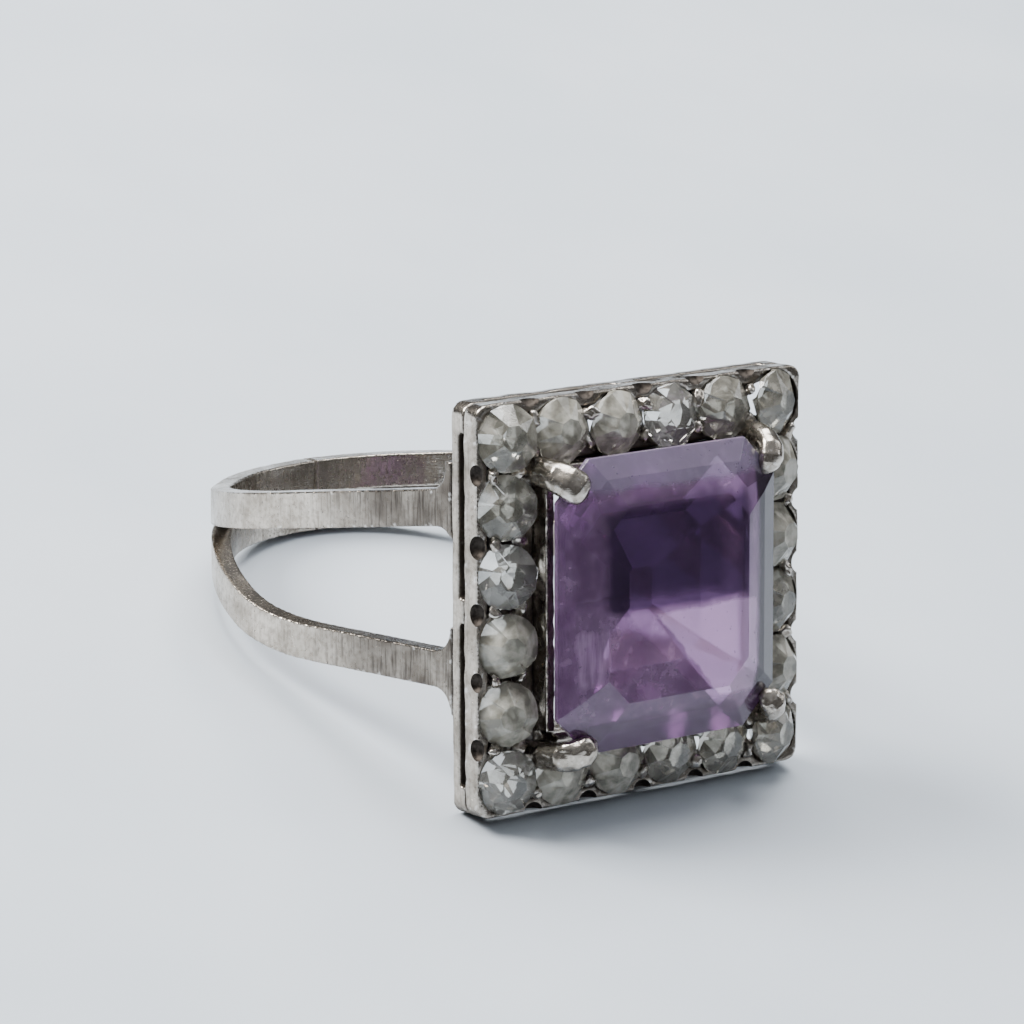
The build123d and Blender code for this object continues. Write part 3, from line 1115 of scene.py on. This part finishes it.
@dataclass
class Setting:
    """The gallery, the scalloped setting tray with its grains, and the collet.

    Attributes:
        axes: the ring's axes.
        places: where the border stones stand.
        floor_level: top of the tray's floor, out from the gallery's back.
        rim_level: top of its rim.
        nick_radius: file that nicked the rim between the stones.
        nick_depth: how deep it cut.
        grain: size of one raised grain.
        grain_offset: from the stones' line to a grain.
        grain_rise: a grain's middle over the tray's floor.
        grain_dent: width and depth of the dents in the grains.
        tray_skin: wear on the tray.
        gallery_skin: wear on the gallery.
        collet_skin: wear on the collet, whose lip is rough.
    """

    axes: RingAxes
    places: list[BorderPlace]
    floor_level: float = 1.27 * MM
    rim_level: float = 1.65 * MM
    nick_radius: float = 0.50 * MM
    nick_depth: float = 0.34 * MM
    grain: float = 0.24 * MM
    grain_offset: float = 0.62 * MM
    grain_rise: float = 0.46 * MM
    grain_dent: Span = (0.22 * MM, 0.26 * MM)
    tray_skin: SkinWear = SkinWear(0.055 * MM, 11, 0.5, 0.9 * MM, 0.10 * MM)
    gallery_skin: SkinWear = SkinWear(0.06 * MM, 6, 1.0, 1.2 * MM, 0.07 * MM)
    collet_skin: SkinWear = SkinWear(0.06 * MM, 4, 1.0, 0.6 * MM, 0.10 * MM)

    def boundaries(self) -> list[tuple[Vector, Vector]]:
        """Find the middles between neighbouring stones.

        Returns:
            Each middle, with the direction out of the head there.
        """
        found = []
        for here, after in zip(self.places, self.places[1:] + self.places[:1]):
            middle = Vector(((here.x + after.x) / 2, (here.y + after.y) / 2))
            sideways = abs(here.x - after.x) < abs(here.y - after.y)
            across, upwards = Vector((math.copysign(1, middle.x), 0)), Vector((0, math.copysign(1, middle.y)))
            found.append((middle, across if sideways else upwards))
        return found

    def worn(self, node: str, skin: SkinWear, seed: int, finish: Finish) -> Piece:
        """Wear a silver CAD node's copy down and dress it.

        Args:
            node: the CAD node.
            skin: its wear.
            seed: which dents it has.
            finish: its silver.

        Returns:
            The worn piece.
        """
        piece = from_node(node, f"{node}_worn")
        skin.wear_down(piece, seed)
        finish_piece(piece, finish, "silver_head", node)
        return piece

    def tray(self, finish: Finish, filed: Finish) -> None:
        """Make the tray: its rim scalloped round the stones and nicked between them.

        Args:
            finish: its silver.
            filed: the near-black finish on the nicks' faces, painted shade in the nicks.
        """
        tray = self.worn("setting_tray", self.tray_skin, 7, finish)
        size = RingAxes.upright_size(self.axes.lean, "setting_tray")
        nicks = []
        rng = random.Random(4)
        for middle, outwards in self.boundaries():
            half = size.x / 2 if outwards.x else size.y / 2
            along = middle.y if outwards.x else middle.x
            out = half + self.nick_radius - self.nick_depth * rng.uniform(0.8, 1.25)
            along += rng.uniform(-0.12, 0.12) * MM
            place = (outwards.x * out, along, 0) if outwards.x else (along, outwards.y * out, 0)
            deselect()
            bpy.ops.mesh.primitive_uv_sphere_add(segments=20, ring_count=12, radius=self.nick_radius)
            nick = added("nick")
            nick.scale = (1, 1, rng.uniform(0.8, 1.1))
            nicks.append(settle(nick, self.axes.on_head(place[0], place[1], self.rim_level)))
        cutter = joined("nicks", *nicks)
        # The nicks' cut faces take the near-black finish: painted shade in the nicks.
        cutter.data.materials.append(filed)
        modify(
            tray, "BOOLEAN", operation="DIFFERENCE", object=cutter, solver="EXACT", material_mode="TRANSFER",
        )
        bpy.data.objects.remove(cutter)
        shade(tray, 40)

    def grains(self, finish: Finish) -> None:
        """Make the grains raised between the stones.

        Args:
            finish: their silver.
        """
        rng = random.Random(11)
        blobs = []
        for middle, outwards in self.boundaries():
            for side in (1, -1):
                spot = middle + outwards * (self.grain_offset * side)
                deselect()
                bpy.ops.mesh.primitive_ico_sphere_add(subdivisions=3, radius=self.grain)
                blob = added("grain")
                blob.scale = (rng.uniform(1.1, 1.9), rng.uniform(0.7, 1.2), rng.uniform(0.8, 1.2))
                blob.rotation_euler = (rng.uniform(-0.6, 0.6), rng.uniform(-0.6, 0.6), rng.uniform(0, 3))
                settle(blob)
                jitter = Vector((rng.uniform(-0.05, 0.05), rng.uniform(-0.05, 0.05))) * MM
                level = self.floor_level + self.grain_rise
                where = self.axes.on_head(spot.x + jitter.x, spot.y + jitter.y, level)
                blobs.append(settle(blob, where))
        grains = joined("setting_grains_worn", *blobs)
        ripple(grains, *self.grain_dent, 3)
        shade(grains, 60)
        finish_piece(grains, finish, "silver_head", "setting_grains")

    def build(self, wear: Tree) -> None:
        """Make and dress the setting.

        Args:
            wear: the worn silver group.
        """
        # Grime with painted shade in recesses, a little tarnishing with a painted dark reflection on the
        # head, and rubbed edges with a painted highlight, brightest on the grains and the collet's lip.
        silvers = (
            SilverFinish("head_silver", file_marks=0.1, tarnish_and_reflection=0.22, grime_and_shade=0.95, reach=0.9 * MM),
            SilverFinish("grain_silver", file_marks=0.1, grime_and_shade=0.6, reach=0.3 * MM, edge=0.9),
            SilverFinish("collet_silver", file_marks=0.1, grime_and_shade=0.5, reach=0.3 * MM, edge=0.9),
        )
        head, bright, lip = (silver.make(wear, self.axes.lean) for silver in silvers)
        # The nicks' near-black finish is painted shade.
        self.tray(head, SolderAndShadeFinish("filed_hollow", (0.018, 0.015, 0.013, 1), (0.07, 0.06, 0.052, 1)).make())
        self.grains(bright)
        self.worn("gallery_frame", self.gallery_skin, 5, head)
        self.worn("collet", self.collet_skin, 9, lip)


@dataclass(frozen=True)
class ClawTip:
    """One claw's own shape.

    Attributes:
        node: its CAD node.
        heading: where it points on the head's face, in degrees from +x.
        reach: how far it bends in from its post.
        width: across the tip.
        battered: how much its skin is dented.
        shift: how far its post stands from its usual place, across and up.
    """

    node: str
    heading: float
    reach: float
    width: float
    battered: float
    shift: tuple[float, float]


@dataclass
class Claws:
    """Four chunky claws: a post, bent in over the gem's corner, with a filed, tapered end.

    Attributes:
        axes: the ring's axes.
        tips: each claw's own shape.
        post_radius: of the posts.
        floor_level: where they stand, out from the gallery's back.
        top_level: the highest point of a claw.
        gem_corner: each cut corner of the gem, measured along its sides.
        standoff: from the gem's cut corner to the post.
        roof: slope of the two filed faces on top, in degrees.
        roof_aside: where a filed face starts, as a share of the tip's width.
        roof_rise: the same, as a share of the claw's height.
        spread: a post's width over its radius before it is softened.
        steps: the bend's steps: climb and advance as shares, turn in degrees, wider, thicker.
    """

    axes: RingAxes
    tips: tuple[ClawTip, ...] = (
        ClawTip("claw_upper_left", -38, 1.42 * MM, 1.30 * MM, 0.05 * MM, (-0.12 * MM, 0.10 * MM)),
        ClawTip("claw_upper_right", -112, 1.45 * MM, 1.05 * MM, 0.06 * MM, (0.10 * MM, 0.50 * MM)),
        ClawTip("claw_lower_left", 18, 1.55 * MM, 1.20 * MM, 0.12 * MM, (0.0, -0.62 * MM)),
        ClawTip("claw_lower_right", 128, 1.40 * MM, 1.12 * MM, 0.08 * MM, (0.45 * MM, -0.45 * MM)),
    )
    post_radius: float = 0.46 * MM
    floor_level: float = 1.27 * MM
    top_level: float = 3.95 * MM
    gem_corner: float = 1.6 * MM
    standoff: float = 0.42 * MM
    roof: float = 36.0
    roof_aside: float = 0.30
    roof_rise: float = 0.97
    spread: float = 2.1
    steps: tuple[tuple[float, ...], ...] = (
        (0.32, 0.02, 8.0, 1.0, 1.0), (0.28, 0.14, 16.0, 1.06, 1.05), (0.18, 0.24, 22.0, 1.08, 1.0),
        (0.07, 0.26, 22.0, 1.0, 0.92), (0.0, 0.22, 14.0, 0.84, 0.80), (-0.04, 0.16, 6.0, 0.66, 0.66),
        (-0.05, 0.12, 4.0, 0.45, 0.45),
    )

    def bend(self, tip: ClawTip) -> None:
        """Draw the claw that is in edit mode out of its top face, bending it in step by step.

        Args:
            tip: its own shape.
        """
        rise = self.top_level - self.floor_level
        top = 0.0
        inwards = 0.0
        for climb, advance, turn, wider, thicker in self.steps:
            bpy.ops.mesh.extrude_region_move(
                TRANSFORM_OT_translate={"value": (advance * tip.reach, 0, climb * rise)}
            )
            top += climb * rise
            inwards += advance * tip.reach
            bpy.ops.transform.rotate(
                value=math.radians(-turn), orient_axis="Y", center_override=(inwards, 0, top)
            )
            bpy.ops.transform.resize(value=(thicker, wider, thicker), center_override=(inwards, 0, top))

    def claw(self, tip: ClawTip, finish: Finish, seed: int) -> None:
        """Make one claw.

        Args:
            tip: its own shape.
            finish: its silver.
            seed: which dents it has.
        """
        low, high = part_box(tip.node)
        side = math.copysign(1, (low + high).x)
        level = 1 if "upper" in tip.node else -1
        gem = RingAxes.upright_size(self.axes.lean, "amethyst")
        stand = (self.post_radius + self.standoff) * math.sqrt(0.5)
        x = side * ((gem.x - self.gem_corner) / 2 + stand) + tip.shift[0]
        y = level * ((gem.y - self.gem_corner) / 2 + stand) + tip.shift[1]
        deselect()
        foot = 0.1 * MM
        bpy.ops.mesh.primitive_cylinder_add(
            vertices=16, radius=self.post_radius, depth=foot, location=(0, 0, -foot / 2)
        )
        claw = settle(added(f"{tip.node}_worn"))
        bpy.ops.object.mode_set(mode="EDIT")
        bpy.ops.mesh.select_mode(type="FACE")
        bpy.ops.mesh.select_all(action="DESELECT")
        bpy.ops.object.mode_set(mode="OBJECT")
        for face in claw.data.polygons:
            face.select = face.normal.z > 0.9
        bpy.ops.object.mode_set(mode="EDIT")
        widen = tip.width / (self.spread * self.post_radius)
        bpy.ops.transform.resize(value=(1, widen, 1), center_override=(0, 0, 0))
        self.bend(tip)
        slope = math.radians(self.roof)
        rise = self.top_level - self.floor_level
        for way in (1, -1):
            bpy.ops.mesh.select_all(action="SELECT")
            bpy.ops.mesh.bisect(
                plane_co=(0, way * tip.width * self.roof_aside, rise * self.roof_rise),
                plane_no=(0, way * math.sin(slope), math.cos(slope)),
                use_fill=True, clear_outer=True,
            )
        bpy.ops.object.mode_set(mode="OBJECT")
        claw.rotation_euler = (0, 0, math.radians(tip.heading))
        settle(claw)
        settle(claw, self.axes.on_head(x, y, self.floor_level))
        soften(claw, 0.045 * MM, 9, 0.8)
        ripple(claw, 0.5 * MM, tip.battered, seed)
        finish_piece(claw, finish, "silver_claws", tip.node)

    def build(self, wear: Tree) -> None:
        """Make and dress the claws.

        Args:
            wear: the worn silver group.
        """
        # Grime with painted shade in recesses and rubbed edges with a painted highlight.
        finish = SilverFinish("claw_silver", file_marks=0.05, grime_and_shade=0.55, reach=0.35 * MM, warmth=0.45)
        material = finish.make(wear, self.axes.lean)
        for seed, tip in enumerate(self.tips):
            self.claw(tip, material, 20 + seed)


# --- Stones ----------------------------------------------------------------------------------


@dataclass(frozen=True)
class StoneCut:
    """The round cut that the border stones share.

    Attributes:
        radius: of the girdle.
        girdle: its height.
        crown: height of the crown above it.
        crown_slope: slope of the crown's main facets, in degrees.
        pavilion_slope: slope below the girdle, in degrees.
        culet: the pavilion's depth as a share of a pointed one.
        star: slope, reach and level of the star facets, as shares of the main facets'.
        halves: how much steeper the half facets are, above and below, in degrees.
    """

    radius: float = 1.33 * MM
    girdle: float = 0.10 * MM
    crown: float = 0.64 * MM
    crown_slope: float = 38.0
    pavilion_slope: float = 40.0
    culet: float = 0.92
    star: tuple[float, float, float] = (0.62, 0.60, 0.93)
    halves: Span = (7.0, 2.5)

    def facet(self, turn: float, slope: float, reach: float, level: float, way: int) -> None:
        """Grind one facet off the stone that is in edit mode.

        Args:
            turn: the facet's direction round the stone, in degrees.
            slope: its slope from the girdle's plane, in degrees.
            reach: a point on it, out from the axis.
            level: that point's height.
            way: 1 on the crown and -1 below.
        """
        around = Vector((math.cos(math.radians(turn)), math.sin(math.radians(turn)), 0))
        tilt = math.radians(slope)
        normal = around * math.sin(tilt) + Vector((0, 0, way * math.cos(tilt)))
        bpy.ops.mesh.select_all(action="SELECT")
        place = around * reach + Vector((0, 0, level))
        bpy.ops.mesh.bisect(plane_co=place, plane_no=normal, use_fill=True, clear_outer=True)

    def grind(self) -> Piece:
        """Cut the stone, its girdle's middle at the origin.

        Returns:
            The cut stone.
        """
        deselect()
        half = self.girdle / 2
        depth = self.radius * math.tan(math.radians(self.pavilion_slope)) * self.culet
        bpy.ops.mesh.primitive_cylinder_add(
            vertices=48, radius=self.radius, depth=self.crown + depth + self.girdle,
            location=(0, 0, (self.crown - depth) / 2),
        )
        stone = added("cut_stone")
        bpy.ops.object.mode_set(mode="EDIT")
        slope, reach, level = self.star
        for turn in range(0, 360, 45):
            self.facet(turn, self.crown_slope, self.radius * 0.985, half, 1)
            self.facet(turn, self.pavilion_slope, self.radius, -half, -1)
            star = (self.crown_slope * slope, self.radius * reach, half + self.crown * level)
            self.facet(turn + 22.5, *star, 1)
        for step in range(16):
            turn = step * 22.5 + 11.25
            self.facet(turn, self.crown_slope + self.halves[0], self.radius, half, 1)
            self.facet(turn, self.pavilion_slope + self.halves[1], self.radius, -half, -1)
        bpy.ops.object.mode_set(mode="OBJECT")
        settle(stone)
        return stone


@dataclass
class Border:
    """Twenty old stones, each seated and aged in its own way.

    Attributes:
        axes: the ring's axes.
        places: where the stones stand.
        seat_level: middle of their girdles, out from the gallery's back.
        column_lean: how far the side columns face outwards, in degrees.
        row_lean: the same for the upper and lower rows.
        cut: their shared cut.
        ageing: each stone's finish, in the order of the nodes' numbers: C clouded, W worn, R clear.
    """

    axes: RingAxes
    places: list[BorderPlace]
    seat_level: float = 1.70 * MM
    column_lean: float = 14.0
    row_lean: float = 4.0
    cut: StoneCut = StoneCut()
    ageing: str = "WCCRWWCCWCWWWCCRCCRW"

    def leaning(self, place: BorderPlace) -> Matrix:
        """The turn that makes a stone face a little outwards.

        Args:
            place: where it stands.

        Returns:
            The turn, in the head's axes.
        """
        column = max(other.x for other in self.places)
        row = max(other.y for other in self.places)
        aside = math.radians(self.column_lean) * int(place.x / column * 1.02)
        upwards = math.radians(self.row_lean) * int(place.y / row * 1.02)
        return Matrix.Rotation(aside, 4, "Y") @ Matrix.Rotation(-upwards, 4, "X")

    def build(self) -> None:
        """Make and dress the stones."""
        finishes = {letter: paste.value.make() for letter, paste in zip("CWR", Paste)}
        model = self.cut.grind()
        rng = random.Random(2)
        for place, letter in zip(self.places, self.ageing):
            stone = own_copy(model, f"{place.node}_cut")
            grown = rng.uniform(0.98, 1.03)
            stone.scale = (grown, grown, rng.uniform(0.9, 1.2))
            settle(stone)
            stone.rotation_euler = (0, 0, rng.uniform(0, math.pi / 4))
            settle(stone)
            stone.rotation_euler = (
                math.radians(rng.uniform(-4, 4)), math.radians(rng.uniform(-4, 4)), 0,
            )
            settle(stone)
            lift = rng.uniform(-0.05, 0.05) * MM
            seat = self.axes.on_head(place.x, place.y, self.seat_level + lift)
            settle(stone, seat @ self.leaning(place))
            finish_piece(stone, finishes[letter], "border_stones", place.node)
        bpy.data.objects.remove(model)


@dataclass
class Amethyst:
    """The step-cut stone in the middle.

    Attributes:
        axes: the ring's axes.
        edge: width of its worn facet edges.
    """

    axes: RingAxes
    edge: float = 0.02 * MM

    def build(self) -> None:
        """Make and dress the gem."""
        gem = from_node("amethyst", "amethyst_cut")
        modify(gem, "BEVEL", width=self.edge, segments=2, limit_method="ANGLE", angle_limit=math.radians(4))
        shade(gem, 2)
        finish_piece(gem, AmethystFinish().make(self.axes), "amethyst", "amethyst")


# --- Making the scene ------------------------------------------------------------------------


def main() -> None:
    """Build the studio and the ring, piece by piece."""
    logging.basicConfig(level=logging.INFO, format="%(name)s %(message)s")
    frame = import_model()
    cad_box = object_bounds()
    axes = RingAxes.of_frame(frame["record"])
    studio = Studio()
    studio.camera(axes)
    studio.floor(cad_box[0].z)
    studio.light(axes)
    wear = worn_silver_group(axes.lean)
    places = border_places(axes)
    Shank(axes).build(wear)
    Setting(axes, places).build(wear)
    Claws(axes).build(wear)
    Border(axes, places).build()
    Amethyst(axes).build()


if __name__ == "__main__":
    main()
